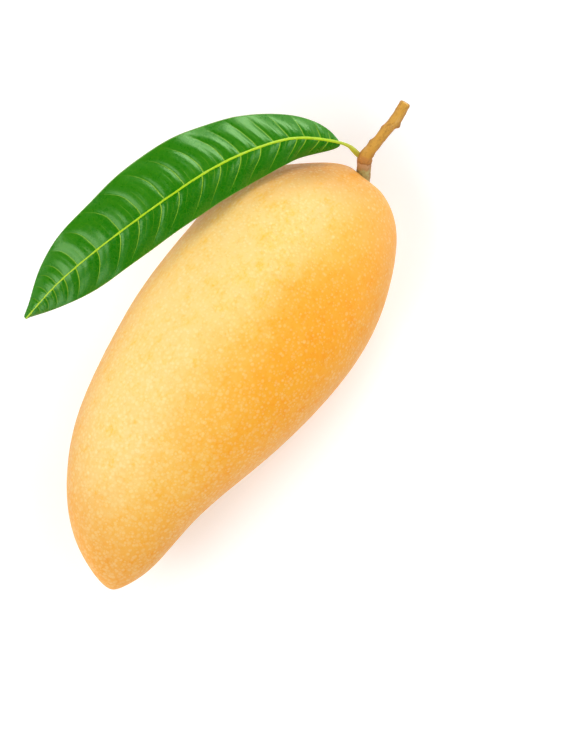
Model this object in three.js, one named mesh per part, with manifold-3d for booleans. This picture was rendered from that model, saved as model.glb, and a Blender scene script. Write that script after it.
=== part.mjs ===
// A ripe mango lying on its cheek, with its cut stem and one leaf.
// Units are millimetres. +X runs from the tip to the stem end, +Y towards the leaf, +Z is up.
// The origin is the centre of the small flat spot that the fruit rests on.
import * as THREE from "three";
import { mergeVertices } from "three/addons/utils/BufferGeometryUtils.js";
import Module from "manifold-3d";

const wasm = await Module();
wasm.setup();

// Fruit: stations are evenly spaced in angle from the tip to the stem end
const FRUIT_LENGTH = 160;
const FRUIT_CENTRE_STATIONS = [1.1, 4.5, 9.2, 11.9, 9.4, 6.2, 4.0, 3.0, 0.1, 1.1];
const FRUIT_BREADTH_STATIONS = [20.8, 26.0, 28.9, 29.8, 32.8, 36.3, 39.6, 42.7, 41.8, 40.6];
const FRUIT_DEPTH_STATIONS = [20.5, 23.4, 25.6, 28.0, 30.3, 31.4, 32.8, 35.0, 36.8, 36.5];
const FRUIT_AXIS_HEIGHT = 30.1;
const FRUIT_AXIS_RISE = 0.4;
const FRUIT_SQUARENESS = 2.12;
const FRUIT_FACETS_ROUND = 56;
const FRUIT_FACETS_LONG = 44;
const BASIN_RADIUS = 7;
const BASIN_DEPTH = 0.9;

// Where the resting spot lies, measured from the tip
const REST_X = 87.7;
const REST_Y = 6.9;

// Stem: centre line from its root inside the fruit to the cut end, with a radius at each station
const STEM_LINE = [
  [153.4, -4.7, 29.2], [157.2, -2.4, 31.5], [160.8, -0.5, 33.9], [164.4, 1.2, 37.0],
  [167.5, 0.9, 39.0], [171.2, 0.3, 40.7], [175.6, -0.4, 42.2], [179.4, -1.1, 43.4], [185.3, -1.0, 45.0],
];
const STEM_RADII = [2.35, 2.4, 2.4, 2.35, 2.0, 1.8, 1.85, 1.95, 1.8];
const COLLAR_AT = 0.345;
const COLLAR_RISE = 0.2;
const COLLAR_WIDTH = 0.02;
const BUD_SCARS = [
  { at: 0.84, angle: -1.4, rise: 0.7 },
  { at: 0.6, angle: 1.5, rise: 0.35 },
];
const SCAR_LENGTH = 0.022;
const STEM_SIDES = 18;
const STEM_RINGS = 48;
const CLEARANCE = 0.3;

// Leaf: the petiole leaves the stem's node and runs on as the midrib
const PETIOLE_FOOT = [164.0, 3.2, 36.6];
const MIDRIB_LINE = [
  [163.8, 9.9, 42.5], [156.9, 23.2, 49.0], [145.5, 33.3, 54.0], [132.8, 41.2, 57.0],
  [119.2, 47.6, 58.2], [105.5, 53.5, 58.2], [91.6, 59.1, 57.0], [77.3, 64.0, 54.8], [62.5, 67.3, 51.0],
];
const PETIOLE_RADIUS = 1.0;
const MIDRIB_RADIUS_START = 0.65;
const MIDRIB_RADIUS_END = 0.45;
const MIDRIB_SIDES = 6;
const MIDRIB_RINGS = 45;
// Blade widths on either side of the midrib, at stations evenly spaced in angle from foot to tip
const OUTER_WIDTH_STATIONS = [0.5, 5.9, 10.8, 12.9, 14.5, 15.7, 15.5, 14.4, 13.4, 9.7, 6.4, 7.2];
const INNER_WIDTH_STATIONS = [9.1, 8.9, 9.7, 10.4, 10.6, 10.2, 10.2, 11.0, 11.7, 9.8, 4.5, 0.5];
const LEAF_END_MARGIN = 0.004;
const LEAF_THICKNESS = 0.85;
const OUTER_DROP = 3.2;
const INNER_DROP = 5.2;
// Where each side vein leaves the midrib, as a share of the blade's length
const OUTER_VEIN_FEET = [
  0, 0.036, 0.061, 0.1, 0.142, 0.183, 0.229, 0.278, 0.322, 0.386, 0.446,
  0.51, 0.585, 0.656, 0.735, 0.799, 0.846, 0.874, 0.907, 0.94, 0.97, 1,
];
const INNER_VEIN_FEET = [
  0, 0.042, 0.065, 0.097, 0.121, 0.168, 0.221, 0.279, 0.339, 0.393, 0.469,
  0.526, 0.6, 0.661, 0.736, 0.808, 0.85, 0.89, 0.92, 0.95, 0.975, 1,
];
const OUTER_SWEEP = 0.068;
const INNER_SWEEP = 0.1;
const INNER_SWEEP_POWER = 1.7;
const QUILT_HEIGHT = 0.55;
const MARGIN_WAVE = 0.7;
const MARGIN_WAVES = 5.5;
const BLADE_COLUMNS = 96;
const ROWS_PER_HALF = 6;

const fruitFinish = new THREE.MeshStandardMaterial({ color: 0xf7b23c, roughness: 0.45, metalness: 0 });
const stemFinish = new THREE.MeshStandardMaterial({ color: 0xb98a3e, roughness: 0.8, metalness: 0 });
const leafFinish = new THREE.MeshStandardMaterial({ color: 0x2c7d12, roughness: 0.4, metalness: 0 });

// Smooth curve through evenly spaced stations, level at both ends
function blend(stations, fraction) {
  const last = stations.length - 1;
  let total = 0;
  for (let wave = 0; wave <= last; wave += 1) {
    let strength = 0;
    for (let place = 0; place <= last; place += 1) {
      const share = place === 0 || place === last ? 0.5 : 1;
      strength += share * stations[place] * Math.cos((Math.PI * wave * place) / last);
    }
    const share = wave === 0 || wave === last ? 0.5 : 1;
    total += (2 / last) * share * strength * Math.cos(Math.PI * wave * fraction);
  }
  return total;
}

// Straight-line reading of evenly spaced stations, eased between them
function reading(stations, fraction) {
  const place = Math.min(Math.max(fraction, 0), 1) * (stations.length - 1);
  const low = Math.min(Math.floor(place), stations.length - 2);
  const ease = THREE.MathUtils.smoothstep(place - low, 0, 1);
  return stations[low] + (stations[low + 1] - stations[low]) * ease;
}

function curveThrough(points) {
  const vectors = points.map((point) => new THREE.Vector3(...point));
  return new THREE.CatmullRomCurve3(vectors, false, "catmullrom", 0.5);
}

// Closed solid from a geometry that three.js made
function toSolid(geometry) {
  const bare = geometry.clone();
  bare.deleteAttribute("normal");
  bare.deleteAttribute("uv");
  const merged = mergeVertices(bare, 1e-4);
  const mesh = new wasm.Mesh({
    numProp: 3,
    vertProperties: Float32Array.from(merged.attributes.position.array),
    triVerts: Uint32Array.from(merged.index.array),
  });
  return new wasm.Manifold(mesh);
}

function toGeometry(solid) {
  const mesh = solid.getMesh();
  const geometry = new THREE.BufferGeometry();
  geometry.setAttribute("position", new THREE.BufferAttribute(mesh.vertProperties, 3));
  geometry.setIndex(new THREE.BufferAttribute(mesh.triVerts, 1));
  geometry.computeVertexNormals();
  return geometry;
}

// Round bar along a curve, made by moving a cylinder's rings on to the curve
function bar(curve, radiusAt, sides, rings, end = 1) {
  const geometry = new THREE.CylinderGeometry(1, 1, 1, sides, rings);
  const position = geometry.attributes.position;
  const up = new THREE.Vector3(0, 0, 1);
  for (let index = 0; index < position.count; index += 1) {
    const fraction = THREE.MathUtils.clamp(position.getY(index) + 0.5, 0, 1);
    const along = end * fraction;
    const centre = curve.getPoint(along);
    const ahead = curve.getTangent(along);
    const side = new THREE.Vector3().crossVectors(up, ahead).normalize();
    const over = new THREE.Vector3().crossVectors(ahead, side);
    const radius = radiusAt(along, Math.atan2(position.getZ(index), position.getX(index)));
    centre.addScaledVector(over, radius * position.getX(index));
    centre.addScaledVector(side, radius * position.getZ(index));
    position.setXYZ(index, centre.x, centre.y, centre.z);
  }
  return toSolid(geometry);
}

// One point of the fruit's skin, from the angle along it and the angle round it
function fruitPoint(angleAlong, angleRound) {
  const fraction = angleAlong / Math.PI;
  const x = (FRUIT_LENGTH / 2) * (1 - Math.cos(angleAlong));
  const across = Math.cos(angleRound);
  const upward = Math.sin(angleRound);
  const power = FRUIT_SQUARENESS;
  const rim = (Math.abs(across) ** power + Math.abs(upward) ** power) ** (-1 / power);
  const breadth = Math.sin(angleAlong) * blend(FRUIT_BREADTH_STATIONS, fraction);
  const depth = Math.sin(angleAlong) * blend(FRUIT_DEPTH_STATIONS, fraction);
  const y = blend(FRUIT_CENTRE_STATIONS, fraction) + breadth * rim * across;
  const lift = FRUIT_AXIS_RISE * Math.cos(angleAlong);
  return new THREE.Vector3(x, y, FRUIT_AXIS_HEIGHT - lift + depth * rim * upward);
}

// Depth of the stem basin at a point near the stem end
function basinDepth(point) {
  const base = STEM_LINE[1];
  const away = Math.hypot(point.y - base[1], point.z - base[2]) / BASIN_RADIUS;
  if (point.x < FRUIT_LENGTH * 0.8 || away >= 1) {
    return 0;
  }
  return BASIN_DEPTH * (1 - away * away) ** 2;
}

function makeFruit(stemClearance) {
  const geometry = new THREE.SphereGeometry(1, FRUIT_FACETS_ROUND, FRUIT_FACETS_LONG);
  const position = geometry.attributes.position;
  for (let index = 0; index < position.count; index += 1) {
    const height = THREE.MathUtils.clamp(position.getY(index), -1, 1);
    const angleAlong = Math.acos(height);
    const angleRound = Math.atan2(position.getZ(index), position.getX(index));
    const point = fruitPoint(angleAlong, angleRound);
    point.x -= basinDepth(point);
    position.setXYZ(index, point.x, point.y, point.z);
  }
  const whole = toSolid(geometry);
  const ground = new THREE.BoxGeometry(400, 400, 20);
  ground.translate(REST_X, REST_Y, -10);
  return whole.subtract(toSolid(ground)).subtract(stemClearance);
}

function stemRadius(along, angle) {
  const ring = (along - COLLAR_AT) / COLLAR_WIDTH;
  let radius = reading(STEM_RADII, along) + COLLAR_RISE * Math.exp(-ring * ring);
  for (const scar of BUD_SCARS) {
    const away = (along - scar.at) / SCAR_LENGTH;
    const facing = Math.max(0, Math.cos(angle - scar.angle)) ** 4;
    radius += scar.rise * facing * Math.exp(-away * away);
  }
  return radius;
}

// Place on the curve of petiole and midrib for a place along the blade
function spinePlace(place) {
  const steps = MIDRIB_LINE.length;
  return (1 + (steps - 1) * place) / steps;
}

// Number of the side vein that passes through a place of the blade, with the share of the way to the next
function veinNumber(place, half, outer) {
  const feet = outer ? OUTER_VEIN_FEET : INNER_VEIN_FEET;
  let foot = place;
  for (let round = 0; round < 8; round += 1) {
    const bend = 1.1 + 1.9 * THREE.MathUtils.smoothstep(foot, 0.15, 0.5);
    const advance = outer ? OUTER_SWEEP * half ** bend : INNER_SWEEP * half ** INNER_SWEEP_POWER;
    foot = place - advance * 4 * foot * (1 - foot);
  }
  const next = Math.max(feet.findIndex((start) => start > foot), 1);
  return next - 1 + (foot - feet[next - 1]) / (feet[next] - feet[next - 1]);
}

// One point of the leaf's middle surface, from its place along the midrib and across the blade
function leafPoint(spine, place, across) {
  const half = Math.min(Math.abs(across), 1);
  const outer = across > 0;
  const swell = 2 * Math.sqrt(place * (1 - place));
  const angle = Math.acos(1 - 2 * place) / Math.PI;
  const width = swell * blend(outer ? OUTER_WIDTH_STATIONS : INNER_WIDTH_STATIONS, angle);
  const ahead = spine.getTangent(spinePlace(place));
  const up = new THREE.Vector3(0, 0, 1);
  const side = new THREE.Vector3().crossVectors(ahead, up).normalize();
  const over = new THREE.Vector3().crossVectors(side, ahead).normalize();
  const panel = Math.abs(Math.sin(Math.PI * veinNumber(place, half, outer))) - 0.6;
  const inside = Math.sin(Math.PI * half ** 0.7);
  const wave = Math.sin(2 * Math.PI * MARGIN_WAVES * place + (outer ? 0 : 2.1));
  let rise = -(outer ? OUTER_DROP : INNER_DROP) * swell * half ** 1.7;
  rise += QUILT_HEIGHT * panel * inside * swell;
  rise += MARGIN_WAVE * wave * swell * half ** 3;
  const point = spine.getPoint(spinePlace(place));
  point.addScaledVector(side, across * width);
  point.addScaledVector(over, rise);
  return point;
}

// Thin closed sheet whose upper and lower faces are split into triangles alike
function makeBlade(spine) {
  const columns = BLADE_COLUMNS;
  const rows = ROWS_PER_HALF * 2;
  const points = [];
  for (const face of [0.5, -0.5]) {
    for (let column = 0; column <= columns; column += 1) {
      const eased = (1 - Math.cos((Math.PI * column) / columns)) / 2;
      const place = LEAF_END_MARGIN + (1 - 2 * LEAF_END_MARGIN) * eased;
      for (let row = 0; row <= rows; row += 1) {
        const point = leafPoint(spine, place, row / ROWS_PER_HALF - 1);
        points.push(point.x, point.y, point.z + face * LEAF_THICKNESS);
      }
    }
  }
  const layer = (columns + 1) * (rows + 1);
  const index = [];
  const at = (column, row, face) => face * layer + column * (rows + 1) + row;
  const wall = (columnA, rowA, columnB, rowB) => {
    const topA = at(columnA, rowA, 0);
    const topB = at(columnB, rowB, 0);
    index.push(topA, topA + layer, topB + layer, topA, topB + layer, topB);
  };
  for (let column = 0; column < columns; column += 1) {
    for (let row = 0; row < rows; row += 1) {
      const near = at(column, row, 0);
      const far = at(column + 1, row, 0);
      index.push(near, near + 1, far + 1, near, far + 1, far);
      index.push(near + layer, far + 1 + layer, near + 1 + layer, near + layer, far + layer, far + 1 + layer);
    }
    wall(column + 1, 0, column, 0);
    wall(column, rows, column + 1, rows);
  }
  for (let row = 0; row < rows; row += 1) {
    wall(0, row, 0, row + 1);
    wall(columns, row + 1, columns, row);
  }
  const geometry = new THREE.BufferGeometry();
  geometry.setAttribute("position", new THREE.Float32BufferAttribute(points, 3));
  geometry.setIndex(index);
  return toSolid(geometry);
}

function makeLeaf(stemClearance) {
  const spine = curveThrough([PETIOLE_FOOT, ...MIDRIB_LINE]);
  const bladeStart = spinePlace(0);
  const spineRadius = (along) => {
    if (along < bladeStart) {
      const share = THREE.MathUtils.smoothstep(along / bladeStart, 0.2, 1);
      return PETIOLE_RADIUS + (MIDRIB_RADIUS_START - PETIOLE_RADIUS) * share;
    }
    const share = (along - bladeStart) / (1 - bladeStart);
    return MIDRIB_RADIUS_START + (MIDRIB_RADIUS_END - MIDRIB_RADIUS_START) * share;
  };
  const rib = bar(spine, spineRadius, MIDRIB_SIDES, MIDRIB_RINGS, 0.995);
  return makeBlade(spine).add(rib).subtract(stemClearance);
}

function toMesh(name, solid, finish) {
  const geometry = toGeometry(solid.translate([-REST_X, -REST_Y, 0]));
  const mesh = new THREE.Mesh(geometry, finish);
  mesh.name = name;
  return mesh;
}

const stemCurve = curveThrough(STEM_LINE);
const stem = bar(stemCurve, stemRadius, STEM_SIDES, STEM_RINGS);
const clearanceRadius = (along, angle) => stemRadius(along, angle) + CLEARANCE;
const deeperRoot = stemCurve.getPoint(0).addScaledVector(stemCurve.getTangent(0), -CLEARANCE);
const clearanceCurve = curveThrough([deeperRoot.toArray(), ...STEM_LINE.slice(1)]);
const stemClearance = bar(clearanceCurve, clearanceRadius, STEM_SIDES, STEM_RINGS);

const group = new THREE.Group();
group.name = "mango";
group.add(toMesh("fruit", makeFruit(stemClearance), fruitFinish));
group.add(toMesh("stem", stem, stemFinish));
group.add(toMesh("leaf", makeLeaf(stemClearance), leafFinish));

export default group;
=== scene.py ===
"""A ripe mango lying on its cheek, with its cut stem and one leaf, in a plain pale studio.

Everything is in metres in the row frame: +X runs from the fruit's tip to its stem end, +Y towards
the leaf and +Z up. The origin is the centre of the small flat spot that the fruit rests on.
Driving sizes are in millimetres, measured from the tip, and are moved to the origin in one place.
"""
import bisect
import logging
import math
from dataclasses import dataclass, field
from enum import Enum
from typing import Any, Callable, Sequence

import bmesh
import bpy
from mathutils import Matrix, Vector, noise


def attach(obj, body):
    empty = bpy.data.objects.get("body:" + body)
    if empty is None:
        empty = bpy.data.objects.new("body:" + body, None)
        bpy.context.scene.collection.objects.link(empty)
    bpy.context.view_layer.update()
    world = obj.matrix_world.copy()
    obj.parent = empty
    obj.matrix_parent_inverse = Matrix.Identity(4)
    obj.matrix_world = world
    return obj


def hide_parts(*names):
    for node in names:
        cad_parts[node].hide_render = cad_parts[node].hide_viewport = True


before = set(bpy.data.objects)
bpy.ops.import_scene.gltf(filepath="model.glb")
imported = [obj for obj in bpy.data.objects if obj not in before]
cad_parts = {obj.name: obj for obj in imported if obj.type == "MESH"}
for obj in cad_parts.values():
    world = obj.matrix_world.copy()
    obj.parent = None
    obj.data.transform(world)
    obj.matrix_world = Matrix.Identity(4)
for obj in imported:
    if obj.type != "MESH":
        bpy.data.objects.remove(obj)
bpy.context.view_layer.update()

Colour = tuple[float, float, float]
Point = tuple[float, float, float]
Span = tuple[float, float]
Socket = bpy.types.NodeSocket
log = logging.getLogger("mango")

MM = 0.001
REST_FROM_TIP = Vector((87.7, 6.9, 0.0))
UP = Vector((0.0, 0.0, 1.0))


class Body(Enum):
    """The one body that every piece rides on."""

    ROOT = "root"


class Slot(Enum):
    """The names of the material slots."""

    SKIN = "skin"
    BARK = "bark"
    LEAF = "leaf_green"


def to_row(point: Vector) -> Vector:
    """Turn a point in millimetres from the tip into metres from the resting spot.

    Args:
        point: The point, measured from the fruit's tip.

    Returns:
        The point in the row frame.
    """
    return (point - REST_FROM_TIP) * MM


def smoothstep(value: float) -> float:
    """Ease a value between 0 and 1."""
    held = min(max(value, 0.0), 1.0)
    return held * held * (3.0 - 2.0 * held)


class Profile:
    """A smooth curve through evenly spaced stations, level at both ends."""

    def __init__(self, stations: Sequence[float]) -> None:
        """Work out the strength of each cosine wave.

        Args:
            stations: The curve's values, evenly spaced from 0 to 1.
        """
        last = len(stations) - 1
        self.waves: list[float] = []
        for wave in range(last + 1):
            total = 0.0
            for place, value in enumerate(stations):
                share = 0.5 if place in (0, last) else 1.0
                total += share * value * math.cos(math.pi * wave * place / last)
            share = 0.5 if wave in (0, last) else 1.0
            self.waves.append(2.0 / last * share * total)

    def at(self, fraction: float) -> float:
        """Read the curve.

        Args:
            fraction: The place on it, from 0 to 1.

        Returns:
            The curve's value there.
        """
        angle = math.pi * fraction
        return sum(strength * math.cos(wave * angle) for wave, strength in enumerate(self.waves))


def reading(stations: Sequence[float], fraction: float) -> float:
    """Read evenly spaced stations, eased between them.

    Args:
        stations: The values, evenly spaced from 0 to 1.
        fraction: The place among them, from 0 to 1.

    Returns:
        The eased value.
    """
    place = min(max(fraction, 0.0), 1.0) * (len(stations) - 1)
    low = min(int(place), len(stations) - 2)
    return stations[low] + (stations[low + 1] - stations[low]) * smoothstep(place - low)


class Line:
    """A smooth line through points, which are evenly spaced along it from 0 to 1."""

    def __init__(self, points: Sequence[Sequence[float]]) -> None:
        """Keep the points, with one more past each end.

        Args:
            points: The points that the line passes through.
        """
        vectors = [Vector(point) for point in points]
        before = vectors[0] * 2.0 - vectors[1]
        after = vectors[-1] * 2.0 - vectors[-2]
        self.points = [before, *vectors, after]
        self.spans = len(vectors) - 1

    def at(self, fraction: float) -> Vector:
        """Find a point of the line.

        Args:
            fraction: The place along it, from 0 to 1.

        Returns:
            The point there.
        """
        place = fraction * self.spans
        span = min(max(int(place), 0), self.spans - 1)
        weight = place - span
        before, start, end, after = self.points[span:span + 4]
        leaving = (end - before) * 0.5
        arriving = (after - start) * 0.5
        cubic = (start - end) * 2.0 + leaving + arriving
        square = (end - start) * 3.0 - leaving * 2.0 - arriving
        return cubic * weight ** 3 + square * weight ** 2 + leaving * weight + start

    def heading(self, fraction: float) -> Vector:
        """Find the line's direction.

        Args:
            fraction: The place along it, from 0 to 1.

        Returns:
            The unit vector that points along the line.
        """
        step = 1e-4
        ahead = self.at(min(fraction + step, 1.0))
        behind = self.at(max(fraction - step, 0.0))
        return (ahead - behind).normalized()


def finish_piece(
    name: str, mesh: bmesh.types.BMesh, materials: Sequence[bpy.types.Material], node: str
) -> bpy.types.Object:
    """Turn a finished mesh into a piece that stands for a node of the solid model.

    Args:
        name: The piece's name.
        mesh: The mesh, in metres in the row frame. It is freed.
        materials: The materials, in the order of the faces' indices.
        node: The node that the piece replaces.

    Returns:
        The new object.
    """
    for face in mesh.faces:
        face.smooth = True
    data = bpy.data.meshes.new(name)
    mesh.to_mesh(data)
    mesh.free()
    piece = bpy.data.objects.new(name, data)
    bpy.context.scene.collection.objects.link(piece)
    for material in materials:
        data.materials.append(material)
    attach(piece, Body.ROOT.value)
    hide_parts(node)
    log.info("%s: %d faces", name, len(data.polygons))
    return piece


def sweep_round(
    mesh: bmesh.types.BMesh,
    line: Line,
    radius_at: Callable[[float], float],
    sides: int,
    rings: int,
    end: float = 1.0,
) -> list[bmesh.types.BMVert]:
    """Grow a round bar along a line by extruding a circle from ring to ring.

    Each vertex keeps its place along the line in the float layer "along", and its angle round
    the line, as the sine and cosine, in "round_sin" and "round_cos".

    Args:
        mesh: The mesh to grow the bar in.
        line: The centre line, in millimetres from the tip.
        radius_at: Gives the radius in millimetres for a place along the line.
        sides: The number of sides.
        rings: The number of steps along the line.
        end: The place where the bar ends.

    Returns:
        All the bar's vertices.
    """
    along_layer = mesh.verts.layers.float["along"]
    sine_layer = mesh.verts.layers.float["round_sin"]
    cosine_layer = mesh.verts.layers.float["round_cos"]

    def ring_frame(place: float) -> Matrix:
        """Give the matrix that takes a unit circle on to the line."""
        ahead = line.heading(place)
        side = UP.cross(ahead).normalized()
        over = ahead.cross(side)
        radius = radius_at(place) * MM
        columns = Matrix((over * radius, side * radius, ahead)).transposed().to_4x4()
        return Matrix.Translation(to_row(line.at(place))) @ columns

    made = bmesh.ops.create_circle(mesh, cap_ends=True, segments=sides, radius=1.0)["verts"]
    for vert in made:
        vert[cosine_layer] = vert.co.x
        vert[sine_layer] = vert.co.y
    current = ring_frame(0.0)
    bmesh.ops.transform(mesh, matrix=current, verts=made)
    edges = list({edge for vert in made for edge in vert.link_edges})
    bmesh.ops.reverse_faces(mesh, faces=list({face for edge in edges for face in edge.link_faces}))
    every = list(made)
    for ring in range(1, rings + 1):
        place = end * ring / rings
        grown = bmesh.ops.extrude_edge_only(mesh, edges=edges)["geom"]
        made = [item for item in grown if isinstance(item, bmesh.types.BMVert)]
        edges = [item for item in grown if isinstance(item, bmesh.types.BMEdge)]
        following = ring_frame(place)
        bmesh.ops.transform(mesh, matrix=following @ current.inverted(), verts=made)
        for vert in made:
            vert[along_layer] = place
        current = following
        every.extend(made)
    bmesh.ops.edgeloop_fill(mesh, edges=edges)
    bmesh.ops.recalc_face_normals(mesh, faces=mesh.faces)
    return every


def new_bar_mesh() -> bmesh.types.BMesh:
    """Start an empty mesh with the layers that a swept bar writes."""
    mesh = bmesh.new()
    for layer in ("along", "round_sin", "round_cos"):
        mesh.verts.layers.float.new(layer)
    return mesh


class Graph:
    """A node tree that is written as nested calls."""

    def __init__(self, tree: bpy.types.NodeTree) -> None:
        """Keep the tree that the nodes go into."""
        self.tree = tree

    def node(self, kind: str, inputs: dict[Any, Any] | None = None, **settings: Any) -> bpy.types.Node:
        """Add a node.

        Args:
            kind: The node's Blender type.
            inputs: Values or sockets for its inputs, by name or number.
            **settings: Values for the node's own properties.

        Returns:
            The new node.
        """
        node = self.tree.nodes.new(kind)
        for name, value in settings.items():
            setattr(node, name, value)
        for name, value in (inputs or {}).items():
            self.feed(node.inputs[name], value)
        return node

    def feed(self, socket: Socket, value: Any) -> None:
        """Link a socket to another one, or set its value.

        Args:
            socket: The input.
            value: A socket, a number, a vector or a colour of three numbers.
        """
        if isinstance(value, Socket):
            self.tree.links.new(value, socket)
        elif socket.type == "RGBA":
            socket.default_value = (*value, 1.0)
        else:
            socket.default_value = value

    def math(self, operation: str, first: Any, second: Any = 0.0) -> Socket:
        """Do a sum on one or two values.

        Args:
            operation: The Math node's operation.
            first: The first value or socket.
            second: The second value or socket.

        Returns:
            The result's socket.
        """
        return self.node("ShaderNodeMath", {0: first, 1: second}, operation=operation).outputs[0]

    def plus(self, first: Any, second: Any) -> Socket:
        """Add two values."""
        return self.math("ADD", first, second)

    def minus(self, first: Any, second: Any) -> Socket:
        """Take the second value from the first."""
        return self.math("SUBTRACT", first, second)

    def times(self, first: Any, second: Any) -> Socket:
        """Multiply two values."""
        return self.math("MULTIPLY", first, second)

    def ease(
        self, value: Any, low: float, high: float, start: float = 0.0, end: float = 1.0
    ) -> Socket:
        """Ease a value from one range to another.

        Args:
            value: The value or socket.
            low: The value that gives start.
            high: The value that gives end.
            start: The result at low.
            end: The result at high.

        Returns:
            The result's socket.
        """
        inputs = {"Value": value, "From Min": low, "From Max": high, "To Min": start, "To Max": end}
        node = self.node("ShaderNodeMapRange", inputs, interpolation_type="SMOOTHSTEP")
        return node.outputs["Result"]

    def mix(self, factor: Any, first: Any, second: Any, blend: str = "MIX") -> Socket:
        """Mix two colours.

        Args:
            factor: How much of the second one is taken.
            first: The first colour or socket.
            second: The second colour or socket.
            blend: The way they are mixed.

        Returns:
            The mixed colour's socket.
        """
        # The Mix node keeps its two colours at inputs 6 and 7 and the mixed one at output 2
        inputs = {0: factor, 6: first, 7: second}
        return self.node("ShaderNodeMix", inputs, data_type="RGBA", blend_type=blend).outputs[2]

    def noise(
        self, vector: Any, scale: float, detail: float = 2.0, roughness: float = 0.5
    ) -> Socket:
        """Add a soft noise.

        Args:
            vector: The coordinates' socket.
            scale: Waves to the metre.
            detail: The number of finer layers.
            roughness: The strength of the finer layers.

        Returns:
            The noise value's socket, about 0.5 on average.
        """
        inputs = {"Vector": vector, "Scale": scale, "Detail": detail, "Roughness": roughness}
        return self.node("ShaderNodeTexNoise", inputs).outputs["Fac"]

    def attribute(self, name: str) -> Socket:
        """Read a value that the mesh keeps for each vertex."""
        return self.node("ShaderNodeAttribute", attribute_name=name).outputs["Fac"]

    def bump(self, shader: bpy.types.Node, height: Socket, strength: float, depth: float) -> None:
        """Make a surface look raised and sunk.

        Args:
            shader: The surface's shader.
            height: The height's socket.
            strength: How much of it shows.
            depth: The metres that a height of 1 stands for.
        """
        inputs = {"Height": height, "Strength": strength, "Distance": depth}
        self.feed(shader.inputs["Normal"], self.node("ShaderNodeBump", inputs).outputs["Normal"])

    def place(self, stretch: Point = (1.0, 1.0, 1.0), turn: Point = (0.0, 0.0, 0.0)) -> Socket:
        """Give object coordinates, stretched and turned.

        Args:
            stretch: The factor along each axis.
            turn: The turn about each axis, in radians.

        Returns:
            The coordinates' socket.
        """
        object_place = self.node("ShaderNodeTexCoord").outputs["Object"]
        inputs = {"Vector": object_place, "Scale": stretch, "Rotation": turn}
        return self.node("ShaderNodeMapping", inputs).outputs["Vector"]


def new_group(
    name: str, inputs: dict[str, Any], outputs: Sequence[str]
) -> tuple[bpy.types.NodeTree, Graph, bpy.types.Node, bpy.types.Node]:
    """Start a shader node group of values.

    Args:
        name: The group's name.
        inputs: Each input's name, with its first value, or a vector for coordinates.
        outputs: The names of the outputs, which are all values.

    Returns:
        The group, its graph, and the nodes of its inputs and outputs.
    """
    tree = bpy.data.node_groups.new(name, "ShaderNodeTree")
    for label, value in inputs.items():
        kind = "NodeSocketFloat" if isinstance(value, float) else "NodeSocketVector"
        socket = tree.interface.new_socket(label, in_out="INPUT", socket_type=kind)
        if isinstance(value, float):
            socket.default_value = value
    for label in outputs:
        tree.interface.new_socket(label, in_out="OUTPUT", socket_type="NodeSocketFloat")
    graph = Graph(tree)
    return tree, graph, tree.nodes.new("NodeGroupInput"), tree.nodes.new("NodeGroupOutput")


def build_speckle_group() -> bpy.types.NodeTree:
    """Build the small pale pores that skin and bark have, scattered and unlike in size.

    Returns:
        The group, whose outputs are the pores' mask and a height for bump.
    """
    inputs = {"Vector": None, "Scale": 400.0, "Size": 0.16, "Share": 0.5}
    tree, graph, given, result = new_group("pores", inputs, ("Mask", "Height"))
    cells = graph.node(
        "ShaderNodeTexVoronoi", {"Vector": given.outputs["Vector"], "Scale": given.outputs["Scale"]}
    )
    lot = graph.node("ShaderNodeSeparateColor", {"Color": cells.outputs["Color"]})
    size = graph.times(given.outputs["Size"], graph.ease(lot.outputs[1], 0.0, 1.0, 0.55, 1.25))
    inner = graph.math("DIVIDE", cells.outputs["Distance"], size)
    dot = graph.ease(inner, 0.55, 1.15, 1.0, 0.0)
    chosen = graph.math("LESS_THAN", lot.outputs[0], given.outputs["Share"])
    strength = graph.ease(lot.outputs[2], 0.0, 1.0, 0.45, 1.0)
    mask = graph.times(graph.times(dot, chosen), strength)
    graph.feed(result.inputs["Mask"], mask)
    graph.feed(result.inputs["Height"], graph.ease(inner, 0.0, 1.6, 1.0, 0.0))
    return tree


def build_mottle_group() -> bpy.types.NodeTree:
    """Build the cloudy change of tone that every grown surface here has, coarse and fine at once.

    Returns:
        The group, whose output runs from about -1 to 1.
    """
    inputs = {"Vector": None, "Coarse": 90.0, "Fine": 500.0, "Fine Share": 0.4}
    tree, graph, given, result = new_group("mottle", inputs, ("Tone",))
    coarse = graph.noise(given.outputs["Vector"], 1.0, 3.0, 0.55)
    graph.feed(coarse.node.inputs["Scale"], given.outputs["Coarse"])
    fine = graph.noise(given.outputs["Vector"], 1.0, 3.0, 0.6)
    graph.feed(fine.node.inputs["Scale"], given.outputs["Fine"])
    coarse_tone = graph.times(graph.minus(coarse, 0.5), 4.0)
    fine_tone = graph.times(graph.minus(fine, 0.5), 4.0)
    fine_part = graph.times(fine_tone, given.outputs["Fine Share"])
    coarse_share = graph.minus(1.0, given.outputs["Fine Share"])
    total = graph.plus(graph.times(coarse_tone, coarse_share), fine_part)
    graph.feed(result.inputs["Tone"], total)
    return tree


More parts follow.
